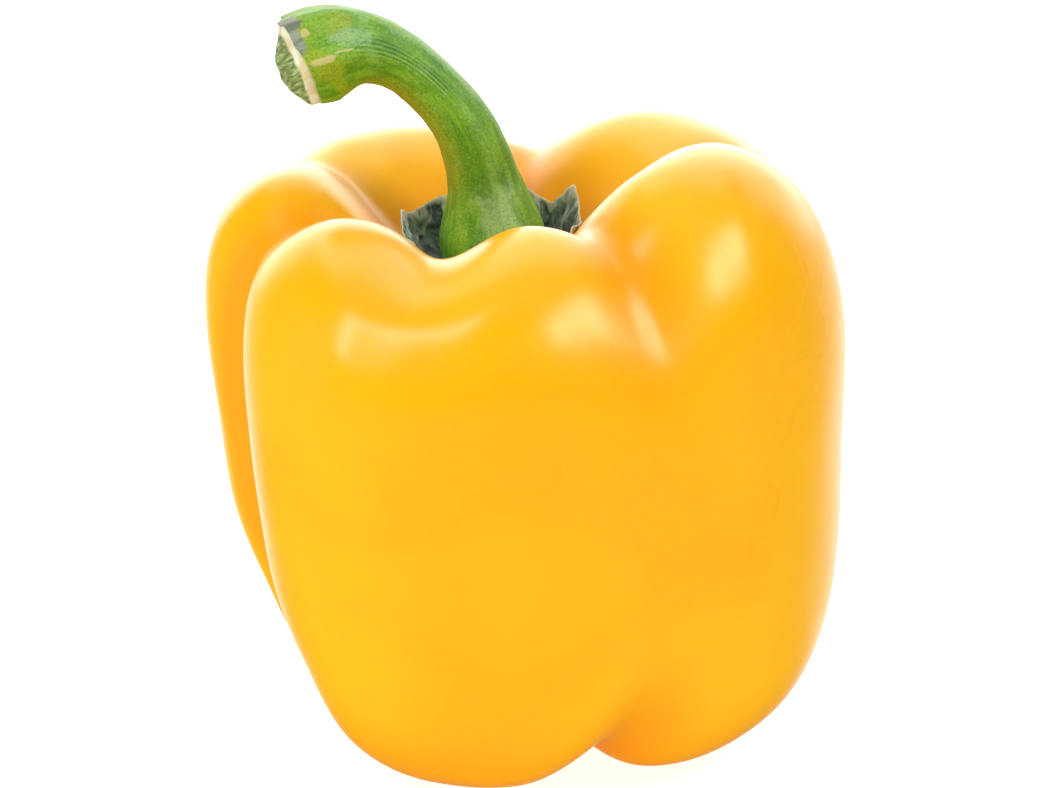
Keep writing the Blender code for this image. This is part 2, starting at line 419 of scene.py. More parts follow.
@dataclass(frozen=True)
class FreshStalk:
    """Green stalk skin, grown and ribbed: satin, streaked lengthwise, with a bloom of fine waxy grains.

    Its sizes and depths are in mm. The grains are about 0.1 mm across and are drawn three times as
    coarse, or they wouldn't show.
    """

    green: str = "#5c920c"
    light_green: str = "#86b824"
    dark_green: str = "#3a780c"
    yellow_green: str = "#a2b00a"
    underside: str = "#a09a0c"
    bloom: str = "#a9cb90"
    scar: str = "#cdbd80"
    film: str = "#969890"
    film_crease: str = "#6a6d68"
    streak_size: float = 1.2
    patch_size: float = 6.0
    grain_size: float = 0.3
    bloom_size: float = 5.0
    streak_share: float = 0.12
    fibre_depth: float = 0.2
    grain_depth: float = 0.06
    roughness: tuple[float, float] = (0.42, 0.62)
    flesh_depth: float = 1.0
    flesh_tint: tuple[float, float, float] = (0.5, 0.8, 0.2)
    skin_ior: float = 1.4

    def material(self) -> bpy.types.Material:
        """Makes the material: streaks along the stalk, yellow patches, bloom, scars and dry film."""
        graph = Graph(bpy.data.materials.new("stalk_skin_fresh"))
        straight = graph.add("Attribute", {}, "Vector", attribute_name="straight")
        layers = {name: graph.add("Attribute", {}, "Fac", attribute_name=name)
                  for name in ("under", "knob", "rib", "line", "haze", "scar", "film")}
        long_way = graph.add("Mapping", {"Vector": straight, "Scale": (1.0, 1.0, self.streak_share)})
        streak_scale = per_metre(self.streak_size)
        patch_scale = per_metre(self.patch_size)
        grain_scale = per_metre(self.grain_size)
        bloom_scale = per_metre(self.bloom_size)
        streaks = graph.add("TexNoise", {"Vector": long_way, "Scale": streak_scale, "Detail": 4.0})
        patches = graph.add("TexNoise", {"Vector": straight, "Scale": patch_scale, "Detail": 3.0})
        grains = graph.add("TexNoise", {"Vector": straight, "Scale": grain_scale, "Detail": 1.0})
        clouds = graph.add("TexNoise", {"Vector": straight, "Scale": bloom_scale, "Detail": 3.0})
        knob_patches = {"Value": layers["knob"], "Value_001": patches}
        lit_knob = graph.add("Math", knob_patches, operation="MULTIPLY")
        waxy = graph.add("Math", {"Value": clouds, "Value_001": layers["haze"]}, operation="ADD")
        colour = graph.lay(linear(self.green), self.light_green, streaks, start=0.4, end=0.66, most=0.8)
        colour = graph.lay(colour, self.dark_green, patches, start=0.48, end=0.66, most=0.6)
        colour = graph.lay(colour, self.light_green, layers["rib"], start=0.2, end=1.0, most=0.4)
        colour = graph.lay(colour, self.yellow_green, lit_knob, start=0.42, end=0.6, most=0.7)
        colour = graph.lay(colour, self.bloom, layers["line"], start=0.3, end=0.9, most=0.4)
        colour = graph.lay(colour, self.dark_green, layers["line"], start=-0.2, end=-0.8, most=0.6)
        colour = graph.lay(colour, self.underside, layers["under"], start=0.15, end=0.85, most=0.7)
        colour = graph.lay(colour, self.bloom, waxy, start=0.55, end=1.0, most=0.5)
        colour = graph.lay(colour, self.bloom, grains, start=0.5, end=0.75, most=0.24)
        colour = graph.lay(colour, self.dark_green, grains, start=0.48, end=0.3, most=0.5)
        dry = graph.lay(linear(self.film), self.film_crease, streaks, start=0.42, end=0.6)
        film = layers["film"]
        colour = graph.lay(colour, dry, film, start=0.2, end=0.9, most=0.85, easing=Easing.EVEN)
        colour = graph.lay(colour, self.scar, layers["scar"], start=0.3, end=0.8, most=0.85)
        least, most = self.roughness
        fibre_depth = self.fibre_depth * MM
        fibres = graph.add("Bump", {"Height": streaks, "Distance": fibre_depth, "Strength": 0.5})
        dullness = graph.add("MapRange", {"Value": grains, "To Min": least, "To Max": most})
        graph.fill(graph.shader, {
            "Base Color": colour,
            "Roughness": dullness,
            "Normal": graph.add("Bump", {
                "Height": grains,
                "Distance": self.grain_depth * MM,
                "Strength": 0.6,
                "Normal": fibres,
            }),
            "IOR": self.skin_ior,
            "Specular IOR Level": 0.25,
            "Subsurface Weight": 0.08,
            "Subsurface Radius": self.flesh_tint,
            "Subsurface Scale": self.flesh_depth * MM,
        })
        return graph.owner


@dataclass(frozen=True)
class CutPith:
    """The stalk's cut end, sliced and dried: matt, a cream corky rim round green pith and pale strands.

    Its sizes and depths are in mm, and the rim's zone is in shares of the cut's size.
    """

    rim: str = "#dfe2c2"
    tan_rim: str = "#d3bd85"
    pith: str = "#8b9d55"
    strand: str = "#c3cf98"
    shade: str = "#5a7033"
    strand_size: float = 0.45
    blotch_size: float = 2.5
    strand_depth: float = 0.2
    rim_zone: tuple[float, float] = (0.76, 0.84)
    roughness: tuple[float, float] = (0.6, 0.9)
    pith_ior: float = 1.4

    def material(self) -> bpy.types.Material:
        """Makes the material: green pith in the middle, paler strands across it and a cream rim."""
        graph = Graph(bpy.data.materials.new("stalk_pith_cut"))
        out = graph.add("Attribute", {}, "Fac", attribute_name="out")
        grain_way = graph.add("Attribute", {}, "Vector", attribute_name="grain_way")
        strand_scale = per_metre(self.strand_size)
        blotch_scale = per_metre(self.blotch_size)
        strands = graph.add("TexNoise", {"Vector": grain_way, "Scale": strand_scale, "Detail": 3.0})
        place = graph.add("TexCoord", {}, "Object")
        blotches = graph.add("TexNoise", {"Vector": place, "Scale": blotch_scale, "Detail": 2.0})
        rim = graph.lay(linear(self.rim), self.tan_rim, blotches, start=0.42, end=0.62, most=0.8)
        colour = graph.lay(linear(self.shade), self.pith, strands, start=0.35, end=0.6)
        colour = graph.lay(colour, self.strand, strands, start=0.54, end=0.75, most=0.9)
        rim_start, rim_end = self.rim_zone
        colour = graph.lay(colour, rim, out, start=rim_start, end=rim_end)
        least, most = self.roughness
        graph.fill(graph.shader, {
            "Base Color": colour,
            "Roughness": graph.add("MapRange", {"Value": strands, "To Min": least, "To Max": most}),
            "Normal": graph.add("Bump", {
                "Height": strands,
                "Distance": self.strand_depth * MM,
                "Strength": 0.8,
            }),
            "IOR": self.pith_ior,
        })
        return graph.owner


@dataclass(frozen=True)
class DriedSepal:
    """Calyx leaf, wilted and dried: matt, dark grey-green, with pale raised veins and papery edges.

    Its sizes and depths are in mm.
    """

    leaf: str = "#62776a"
    dark: str = "#1b3027"
    brown: str = "#75663f"
    vein: str = "#b7c0ab"
    edge: str = "#c6c4a0"
    blotch_size: float = 2.2
    fibre_size: float = 0.5
    fibre_depth: float = 0.15
    roughness: tuple[float, float] = (0.55, 0.85)
    leaf_ior: float = 1.45

    def material(self) -> bpy.types.Material:
        """Makes the material: blotches of green and brown, pale veins and a bleached edge."""
        graph = Graph(bpy.data.materials.new("calyx_sepal_dried"))
        place = graph.add("TexCoord", {}, "Object")
        layers = {name: graph.add("Attribute", {}, "Fac", attribute_name=name)
                  for name in ("vein", "edge", "fold")}
        blotch_scale = per_metre(self.blotch_size)
        fibre_scale = per_metre(self.fibre_size)
        blotches = graph.add("TexNoise", {"Vector": place, "Scale": blotch_scale, "Detail": 4.0})
        fibres = graph.add("TexNoise", {"Vector": place, "Scale": fibre_scale, "Detail": 4.0})
        colour = graph.lay(linear(self.dark), self.leaf, blotches, start=0.4, end=0.6)
        colour = graph.lay(colour, self.brown, blotches, start=0.58, end=0.72, most=0.6)
        colour = graph.lay(colour, self.vein, fibres, start=0.52, end=0.75, most=0.35)
        colour = graph.lay(colour, self.vein, layers["fold"], start=0.45, end=1.0, most=0.5)
        colour = graph.lay(colour, self.vein, layers["vein"], start=0.2, end=0.9, most=0.85)
        colour = graph.lay(colour, self.edge, layers["edge"], start=0.3, end=1.0, most=0.8)
        least, most = self.roughness
        graph.fill(graph.shader, {
            "Base Color": colour,
            "Roughness": graph.add("MapRange", {"Value": blotches, "To Min": least, "To Max": most}),
            "Normal": graph.add("Bump", {
                "Height": fibres,
                "Distance": self.fibre_depth * MM,
                "Strength": 0.7,
            }),
            "IOR": self.leaf_ior,
        })
        return graph.owner


@dataclass(frozen=True)
class OpalSheet:
    """Opal acrylic, cast and lit from below as on a light table: a white ground with a faint shadow.

    Its colours are a mid grey, so that it throws little light back, and its glow makes it white. Its
    grain is in mm.
    """

    sheet: str = "#b5b5b3"
    shade: str = "#b1b1af"
    grain_size: float = 3.0
    glow: float = 1.9
    roughness: float = 0.9

    def material(self) -> bpy.types.Material:
        """Makes the material: a faint grain in a matt grey that glows."""
        graph = Graph(bpy.data.materials.new("opal_acrylic_backlit"))
        place = graph.add("TexCoord", {}, "Object")
        grain_scale = per_metre(self.grain_size)
        grain = graph.add("TexNoise", {"Vector": place, "Scale": grain_scale, "Detail": 2.0})
        graph.fill(graph.shader, {
            "Base Color": graph.lay(linear(self.sheet), self.shade, grain, start=0.3, end=0.7),
            "Roughness": self.roughness,
            "Specular IOR Level": 0.2,
            "Emission Color": linear(self.sheet),
            "Emission Strength": self.glow,
        })
        return graph.owner


@dataclass(frozen=True)
class Ring:
    """One ring of the fruit's cage, in mm, and how much of each lobe and groove it takes."""

    radius: float
    height: float
    centre_x: float
    groove_in: float
    groove_down: float
    top_share: float
    side_share: float
    foot_share: float


@dataclass(frozen=True)
class Lobe:
    """A lobe: the azimuth of its crest in degrees, and its rises and reaches in mm."""

    azimuth: float
    top_lift: float
    top_reach: float
    side_reach: float
    foot_lift: float
    foot_reach: float


@dataclass(frozen=True)
class Groove:
    """A groove between two lobes: its azimuth, and its strength at the top, the side and the foot."""

    azimuth: float
    top: float
    side: float
    foot: float
    sharpness: float


@dataclass(frozen=True)
class Dent:
    """A shallow hollow in the skin: its azimuth in degrees, and its height, half sizes and depth in mm.

    A depth below nothing makes it a swelling.
    """

    azimuth: float
    height: float
    half_width: float
    half_height: float
    depth: float


RINGS = (
    Ring(5.0, 68.0, -5.2, 0.0, 0.0, 0.0, 0.0, 0.0),
    Ring(10.0, 68.0, -5.0, 0.0, 0.0, 0.0, 0.0, 0.0),
    Ring(14.5, 74.0, -4.6, 0.0, 2.2, 0.4, 0.0, 0.0),
    Ring(19.5, 82.0, -3.6, 0.0, 4.4, 0.9, 0.1, 0.0),
    Ring(26.0, 86.0, -2.4, 0.6, 5.4, 1.0, 0.3, 0.0),
    Ring(35.0, 84.0, -1.2, 3.6, 4.6, 0.9, 0.6, 0.0),
    Ring(43.0, 77.0, -0.2, 5.4, 2.0, 0.6, 0.85, 0.0),
    Ring(46.7, 66.0, 0.3, 4.4, 0.0, 0.3, 1.0, 0.0),
    Ring(46.6, 53.0, 0.8, 3.2, 0.0, 0.1, 1.0, 0.05),
    Ring(45.6, 40.0, 1.0, 2.8, 0.0, 0.0, 0.9, 0.15),
    Ring(43.8, 28.0, 1.4, 3.2, 0.0, 0.0, 0.75, 0.4),
    Ring(39.8, 16.5, 2.0, 4.4, -0.6, 0.0, 0.55, 0.7),
    Ring(34.0, 6.5, 0.2, 5.4, -2.6, 0.0, 0.4, 0.95),
    Ring(23.0, -0.2, -1.2, 4.6, -4.6, 0.0, 0.2, 1.0),
    Ring(12.5, 0.3, -1.2, 2.4, -4.6, 0.0, 0.1, 0.85),
    Ring(5.5, 6.0, -1.2, 0.3, -2.0, 0.0, 0.0, 0.3),
)

LOBES = (
    Lobe(-118.0, -3.9, 0.0, 2.0, -1.0, 2.2),
    Lobe(-24.0, 4.5, 2.2, -2.3, -1.0, 4.6),
    Lobe(47.0, 0.4, 3.4, 0.0, -0.8, 0.0),
    Lobe(134.0, -2.8, 3.2, 0.0, -0.9, 0.0),
    Lobe(170.0, -3.8, 3.6, -0.4, 3.2, 0.6),
)

GROOVES = (
    Groove(-66.0, 1.2, 0.3, 1.4, 4.5),
    Groove(11.0, 1.25, 0.8, 1.0, 2.2),
    Groove(84.0, 1.25, 1.0, 1.0, 2.2),
    Groove(154.0, 0.4, 1.0, 1.0, 2.8),
    Groove(-168.0, 1.5, 3.5, 3.2, 4.2),
)

DENTS = (
    Dent(-123.5, 68.0, 5.5, 16.0, -0.5),
    Dent(-112.0, 70.5, 4.5, 12.0, -0.25),
    Dent(-81.0, 76.0, 7.0, 5.0, 0.12),
    Dent(-48.0, 72.0, 8.0, 8.0, -0.4),
)


@dataclass
class Fruit:
    """The fruit: five lobes round a sunken top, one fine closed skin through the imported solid's cage.

    Zones are heights in mm and bands are places down the rings, each from its start to its full strength.
    """

    columns: int = 48
    fine_columns: int = 6
    fine_rows: int = 12
    floor_height: float = 68.0
    navel_height: float = 8.0
    top_zone: tuple[float, float] = (55.0, 75.0)
    foot_zone: tuple[float, float] = (30.0, 10.0)
    crease_ease: float = 3.0
    dip_azimuth: float = -111.0
    dip_half_width: float = 15.0
    dip_depth: float = 5.0
    swell: Unevenness = Unevenness(17.0, 0.35, 3.1)
    dimples: Unevenness = Unevenness(6.5, 0.07, 11.7)
    crease_width: float = 2.2
    crease_depth: float = 0.35
    # Where the painted shade towards the foot grows, as heights in mm.
    foot_shade_zone: tuple[float, float] = (22.0, 0.0)
    # Where the painted shade in the sunken top grows, as places down the rings.
    bowl_shade_band: tuple[float, float] = (4.6, 2.6)
    out_of_bowl_band: tuple[float, float] = (1.5, 3.5)
    shoulder_start_band: tuple[float, float] = (3.0, 5.0)
    shoulder_end_band: tuple[float, float] = (9.5, 7.0)
    outside_band: tuple[float, float] = (4.0, 5.5)
    finish: WaxyCuticle = WaxyCuticle()

    def _lobe_value(self, azimuth: float, name: str) -> float:
        """A field of the lobes, eased from each crest to the next.

        Args:
            azimuth: where to take it, in degrees.
            name: the field's name.

        Returns:
            Its value there, in mm.
        """
        after = min(LOBES, key=lambda lobe: (lobe.azimuth - azimuth) % 360.0)
        before = min(LOBES, key=lambda lobe: (azimuth - lobe.azimuth) % 360.0)
        span = (after.azimuth - before.azimuth) % 360.0
        share = smoothstep(((azimuth - before.azimuth) % 360.0) / span) if span else 0.0
        return getattr(before, name) * (1 - share) + getattr(after, name) * share

    def _eased(self, turn: Array | float) -> Array | float:
        """A turn in degrees whose corner at nothing is rounded."""
        return np.hypot(turn, self.crease_ease) - self.crease_ease

    def _groove_depth(self, azimuth: float, height: float) -> float:
        """How deep the grooves are.

        Args:
            azimuth: where to take it, in degrees.
            height: the height there, in mm.

        Returns:
            Their depth there, with 1 as a full groove.
        """
        towards_top = through(height, *self.top_zone)
        towards_foot = through(height, *self.foot_zone)
        side_share = 1.0 - towards_top - towards_foot
        depth = 0.0
        for groove in GROOVES:
            turn = turn_between(groove.azimuth, azimuth)
            side = 1.0 if turn >= 0 else -1.0
            reach = min((side * (lobe.azimuth - groove.azimuth)) % 360.0 for lobe in LOBES)
            kernel = max(0.0, 1.0 - self._eased(turn) / self._eased(reach)) ** groove.sharpness
            strength = groove.top * towards_top + groove.side * side_share + groove.foot * towards_foot
            depth += strength * kernel
        return depth

    def _cage_point(self, ring: Ring, azimuth: float) -> list[float]:
        """One of the cage's points.

        Args:
            ring: the ring that it is on.
            azimuth: its azimuth, in degrees.

        Returns:
            Its x, y and z in mm, and the depth of the grooves there.
        """
        groove = self._groove_depth(azimuth, ring.height)
        radius = ring.radius - ring.groove_in * groove
        radius += ring.top_share * self._lobe_value(azimuth, "top_reach")
        radius += ring.side_share * self._lobe_value(azimuth, "side_reach")
        radius += ring.foot_share * self._lobe_value(azimuth, "foot_reach")
        dip = self.dip_depth * hump(turn_between(self.dip_azimuth, azimuth), self.dip_half_width)
        height = ring.height - ring.groove_down * groove
        height += ring.top_share * (self._lobe_value(azimuth, "top_lift") - dip)
        height += ring.foot_share * self._lobe_value(azimuth, "foot_lift")
        angle = math.radians(azimuth)
        return [ring.centre_x + radius * math.cos(angle), radius * math.sin(angle), height, groove]

    def _cage(self) -> Array:
        """Sets out the cage.

        Returns:
            Its rows from the middle of the top to the navel, with one more beyond each end.
        """
        azimuths = [360.0 * column / self.columns for column in range(self.columns)]
        rings = [[self._cage_point(ring, azimuth) for azimuth in azimuths] for ring in RINGS]
        top = [[RINGS[0].centre_x, 0.0, self.floor_height, 0.0]] * self.columns
        navel = [[RINGS[-1].centre_x, 0.0, self.navel_height, 0.0]] * self.columns
        rows = np.array([top, *rings, navel])
        half_turn = self.columns // 2
        beyond = [np.roll(rows[1], half_turn, axis=0), np.roll(rows[-2], half_turn, axis=0)]
        return np.concatenate([beyond[:1], rows, beyond[1:]])

    def surface(self) -> Surface:
        """Draws the skin before its relief, as a cubic surface through the cage.

        Returns:
            The fine skin, with the values that its finish and its relief read.
        """
        cage = self._cage()
        down = np.linspace(0.0, len(RINGS) + 1, (len(RINGS) + 1) * self.fine_rows + 1)
        row = np.minimum(down.astype(int), len(RINGS))
        row_weights = spline_weights(down - row)
        around = np.arange(self.columns * self.fine_columns) / self.fine_columns
        column = around.astype(int)
        column_weights = spline_weights(around - column)
        rows = sum(cage[row + step] * row_weights[:, step, None, None] for step in range(4))
        fine = sum(
            rows[:, (column + step - 1) % self.columns] * column_weights[None, :, step, None]
            for step in range(4)
        )
        azimuth = np.broadcast_to(around * 360.0 / self.columns, fine.shape[:2])
        ring_place = np.broadcast_to(down[:, None], fine.shape[:2])
        height = fine[..., 2]
        # The first three values mask painted shade: the grooves' depth, the nearness of the foot and the
        # sunken top.
        values = {
            "groove_shade": fine[..., 3],
            "foot": through(height, *self.foot_shade_zone),
            "bowl_shade": through(ring_place, *self.bowl_shade_band),
            "azimuth": azimuth,
            "ring": ring_place,
        }
        return Surface(fine[..., :3], values)

    def _relief(self, skin: Surface) -> Array:
        """How far the skin swells and creases, which it does less inside the sunken top.

        Args:
            skin: the fine skin with its azimuths and its places down the rings.

        Returns:
            The way of each point along its normal, in mm.
        """
        ring = skin.values["ring"]
        azimuth = skin.values["azimuth"]
        swelling = self.swell.rise(skin.points) + self.dimples.rise(skin.points)
        relief = through(ring, *self.out_of_bowl_band) * (swelling - 0.5 * self.swell.depth)
        distance_per_degree = np.hypot(skin.points[..., 0], skin.points[..., 1]) * math.pi / 180.0
        on_shoulder = through(ring, *self.shoulder_start_band) * through(ring, *self.shoulder_end_band)
        outside = through(ring, *self.outside_band)
        for groove in GROOVES:
            away = turn_between(groove.azimuth, azimuth) * distance_per_degree
            relief -= self.crease_depth * on_shoulder * hump(away, self.crease_width)
        for dent in DENTS:
            away = turn_between(dent.azimuth, azimuth) * distance_per_degree
            below = skin.points[..., 2] - dent.height
            relief -= dent.depth * outside * hump(away, dent.half_width) * hump(below, dent.half_height)
        return relief

    def build(self) -> Array:
        """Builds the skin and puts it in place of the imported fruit.

        Returns:
            How far the skin moved in plan, in mm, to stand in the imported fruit's box.
        """
        skin = self.surface()
        low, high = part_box(Solid.FRUIT.value)
        packed_middle = np.array((low + high) / 2) / MM
        middle = (skin.points.min(axis=(0, 1)) + skin.points.max(axis=(0, 1))) / 2
        shift = (packed_middle - middle) * (1.0, 1.0, 0.0)
        skin.push(self._relief(skin))
        skin.shift(shift)
        skin.points[..., 2] = np.maximum(skin.points[..., 2], 0.0)
        del skin.values["azimuth"], skin.values["ring"]
        place_piece("fruit_skin", skin, self.finish, Slot.SKIN, Solid.FRUIT)
        return shift


@dataclass(frozen=True)
class Mark:
    """A patch on the stalk: its way back from the cut in mm, its turn in degrees, and its half sizes."""

    back: float
    turn: float
    half_length: float
    half_turn: float
    softness: float = 0.3

    def cover(self, back: Array | float, turn: Array, fray: Array | float = 0.0) -> Array:
        """How much the patch covers each place.

        Args:
            back: each place's way back from the cut, in mm.
            turn: each place's turn, in degrees.
            fray: how far to move the patch's edge there, as a share of its half sizes.

        Returns:
            0 outside the patch and 1 inside it.
        """
        away_back = ((back - self.back) / self.half_length) ** 4
        away_turn = (turn_between(self.turn, turn) / self.half_turn) ** 4
        return through((away_back + away_turn) ** 0.25 + fray, 1.0 + self.softness, 1.0 - self.softness)


def cover_of(marks: tuple[Mark, ...], back: Array, turn: Array, fray: Array) -> Array:
    """How much the strongest of several patches covers each place."""
    return np.max([mark.cover(back, turn, fray) for mark in marks], axis=0)


@dataclass
class Stalk:
    """The stalk: a ribbed green tube, bent over, swollen at its cut end, with dried pith and papery film.

    Turns go round it from its far side: -90 is outside the bend and -180 is towards the camera. Zones
    are shares of its length from its foot to its cut, but the pith's are rises in mm. The lip and the
    pith's profile hold, for each ring, its share of the rim's size and its way out of the rim in mm.
    """

    points: tuple[tuple[Place, float], ...] = (
        ((-4.8, 0.3, 70.5), 7.6),
        ((-5.0, 0.3, 73.2), 8.0),
        ((-5.4, 0.2, 76.8), 6.8),
        ((-6.2, 0.1, 81.2), 5.1),
        ((-7.5, 0.0, 86.2), 4.8),
        ((-10.0, 0.0, 91.0), 4.4),
        ((-13.8, -0.3, 95.4), 4.2),
        ((-18.0, -0.9, 98.9), 4.4),
        ((-22.6, -2.0, 100.8), 5.3),
        ((-27.0, -3.2, 100.7), 7.2),
        ((-30.0, -4.1, 99.8), 7.3),
        ((-32.0, -4.8, 99.2), 6.9),
    )
    sides: int = 180
    stations: int = 280
    ribs: int = 6
    rib_depth: float = 0.05
    rib_strength: float = 0.6
    rib_gain_on_knob: float = 0.9
    rib_place: float = 25.0
    rib_twist: float = 12.0
    knob_zone: tuple[float, float] = (0.68, 0.9)
    line_spacing: float = 7.0
    line_depth: float = 0.1
    lines: Mark = Mark(15.0, -154.0, 8.5, 15.0)
    lumps: Unevenness = Unevenness(3.0, 0.2, 5.0, 0.35)
    small_lumps: Unevenness = Unevenness(1.1, 0.08, 9.0, 0.5)
    fray: Unevenness = Unevenness(0.9, 0.25, 2.3)
    dry_fray_gain: float = 2.0
    under_zone: tuple[float, float] = (0.05, 0.3)
    under_facing: tuple[float, float, float] = (-0.7, 0.0, -0.8)
    cut_facing: tuple[float, float, float] = (-0.903, -0.224, -0.365)
    cut_back: float = 1.0
    cut_zone: tuple[float, float] = (0.88, 1.0)
    cut_raggedness: Unevenness = Unevenness(1.2, 0.14, 4.4)
    hood: Mark = Mark(0.0, -112.0, 1.0, 34.0, 0.5)
    hood_length: float = 0.6
    spike: Mark = Mark(0.0, -96.0, 1.0, 6.0, 0.6)
    spike_length: float = 0.7
    lip: tuple[tuple[float, float], ...] = (
        (0.975, 0.02), (0.95, -0.1), (0.93, -0.8), (0.9, -1.8), (0.5, -2.4),
    )
    scars: tuple[Mark, ...] = (
        Mark(2.4, -163.0, 2.0, 3.8, 0.3), Mark(1.9, -123.0, 0.6, 5.0), Mark(5.8, -158.0, 1.4, 1.6),
    )
    scar_height: float = 0.07
    films: tuple[Mark, ...] = (Mark(0.6, -100.0, 1.7, 16.0), Mark(0.5, -128.0, 0.8, 22.0))
    film_height: float = 0.12
    film_crumple: Unevenness = Unevenness(0.5, 0.12, 7.7)
    hazes: tuple[Mark, ...] = (
        Mark(7.0, -140.0, 2.4, 11.0, 0.6),
        Mark(20.0, -104.0, 9.0, 12.0, 0.9),
        Mark(42.0, -165.0, 5.0, 30.0, 0.9),
    )
    haze_strength: float = 0.5
    pith_profile: tuple[tuple[float, float], ...] = (
        (0.8, -2.2), (0.92, -1.2), (0.95, -0.3), (0.97, 0.15), (0.92, 0.5), (0.86, 0.9), (0.8, 1.2),
        (0.72, 1.6), (0.62, 2.1), (0.48, 2.7), (0.3, 3.2), (0.1, 3.4),
    )
    pith_sink: float = 0.9
    pith_sink_zone: tuple[float, float] = (0.0, 1.5)
    pith_lumps: Unevenness = Unevenness(1.5, 0.25, 6.0)
    pith_lump_zone: tuple[float, float] = (0.0, 0.8)
    pith_upward: tuple[float, float, float] = (0.0, 0.3, 1.0)
    pith_strand_share: float = 0.25
    pith_rows: int = 64
    skin_finish: FreshStalk = FreshStalk()
    pith_finish: CutPith = CutPith()

    def _path(self, shares: Array) -> tuple[Array, Array]:
        """The stalk's middle line.

        Args:
            shares: where to take it, from 0 at the foot to 1 at the cut.

        Returns:
            Its places and its radii there, in mm.
        """
        basis = clamped_basis(len(self.points), shares)
        places = np.array([place for place, _ in self.points])
        radii = np.array([radius for _, radius in self.points])
        return basis @ places, basis @ radii

    def _frames(self, middle: Array) -> tuple[Array, Array, Array]:
        """Directions that follow a line, turned no more than its bend asks.

        Args:
            middle: the line's places, in mm.

        Returns:
            The unit directions along, beside and above the line at each place.
        """
        along = unit(np.gradient(middle, axis=0))
        beside = np.zeros_like(along)
        beside[0] = unit(np.cross(along[0], (1.0, 0.0, 0.0)))
        for station in range(1, len(along)):
            carried = beside[station - 1]
            beside[station] = unit(carried - along[station] * np.dot(carried, along[station]))
        return along, beside, np.cross(along, beside)

    def _marks(self, flat: Array, back: Array, turn: Array) -> dict[str, Array]:
        """What lies on the skin.

        Args:
            flat: each place on the stalk as if it were straight, in mm.
            back: each place's way back from the cut, in mm.
            turn: each place's turn, in degrees.

        Returns:
            The cover of each kind of mark, from 0 to 1; that of the fine lines waves from -1 to 1.
        """
        fray = self.fray.rise(flat)
        dry_fray = self.dry_fray_gain * fray
        waves = np.cos(2 * math.pi * turn / self.line_spacing)
        return {
            "line": self.lines.cover(back, turn, fray) * waves,
            "scar": cover_of(self.scars, back, turn, fray),
            "film": cover_of(self.films, back, turn, dry_fray),
            "haze": self.haze_strength * cover_of(self.hazes, back, turn, dry_fray),
        }

    def _stretch(self, size: Array, out: Array, along: Array, flat: Array, turn: Array) -> Array:
        """How far the skin reaches on towards the slanted, ragged cut.

        Args:
            size: each place's way out of the middle line, in mm.
            out: each place's direction out of the line.
            along: the line's directions.
            flat: each place on the stalk as if it were straight, in mm.
            turn: each place's turn, in degrees.

        Returns:
            Each place's way along the line, in mm.
        """
        facing = unit(np.array(self.cut_facing))
        slant = -size * (out @ facing) / (along @ facing)[:, None]
        ragged = self.cut_raggedness.rise(flat) + self.hood_length * self.hood.cover(0.0, turn)
        ragged += self.spike_length * self.spike.cover(0.0, turn)
        near_cut = through(np.linspace(0.0, 1.0, self.stations), *self.cut_zone)
        return near_cut[:, None] * (slant + ragged - self.cut_back)

    def skin(self) -> Surface:
        """Draws the skin from the foot to the cut.

        Returns:
            Rings along the middle line and a lip inside the cut, with the values that the finish reads.
        """
        shares = np.linspace(0.0, 1.0, self.stations)
        middle, radius = self._path(shares)
        along, beside, above = self._frames(middle)
        angle = -2 * np.pi * np.arange(self.sides) / self.sides
        turn = np.broadcast_to(np.degrees(angle), (self.stations, self.sides))
        steps = np.linalg.norm(np.diff(middle, axis=0), axis=1)
        length = np.concatenate([[0.0], np.cumsum(steps)])[:, None] * np.ones(self.sides)
        out = np.cos(angle)[None, :, None] * beside[:, None]
        out += np.sin(angle)[None, :, None] * above[:, None]
        size = radius[:, None] * np.ones(self.sides)
        flat = np.stack([size * np.cos(angle), size * np.sin(angle), length], axis=-1)
        knob = through(shares, *self.knob_zone)[:, None] * np.ones(self.sides)
        rib = np.cos(self.ribs * np.radians(turn - self.rib_place + self.rib_twist * shares[:, None]))
        marks = self._marks(flat, length[-1] - length, turn)
        rib_strength = self.rib_strength + self.rib_gain_on_knob * knob
        size = size * (1.0 + self.rib_depth * rib_strength * (rib - 1.0) * 0.5)
        size += self.lumps.rise(flat) + self.small_lumps.rise(flat) - self.lumps.depth
        size += self.line_depth * marks["line"] + self.scar_height * marks["scar"]
        size += marks["film"] * (self.film_height + self.film_crumple.rise(flat))
        stretch = self._stretch(size, out, along, flat, turn)
        points = middle[:, None] + size[..., None] * out + along[:, None] * stretch[..., None]
        bend = through(shares, *self.under_zone)[:, None]
        under = np.clip(out @ np.array(self.under_facing), 0.0, 1.0) * bend
        values = {"straight": flat * MM, "rib": rib, "under": under, "knob": knob, **marks}
        lip = self._inwards(points[-1], np.array(self.lip))
        longer = {name: np.concatenate([value, np.repeat(value[-1:], len(lip), axis=0)])
                  for name, value in values.items()}
        return Surface(np.concatenate([points, lip]), longer)

    def _inwards(self, rim: Array, steps: Array) -> Array:
        """Rings inside the cut's rim.

        Args:
            rim: the skin's edge, in mm.
            steps: for each ring its share of the rim's size and its way out of the rim in mm.

        Returns:
            The rings, in mm.
        """
        middle = rim.mean(axis=0)
        facing = unit(np.array(self.cut_facing))
        return middle + steps[:, 0, None, None] * (rim - middle) + steps[:, 1, None, None] * facing

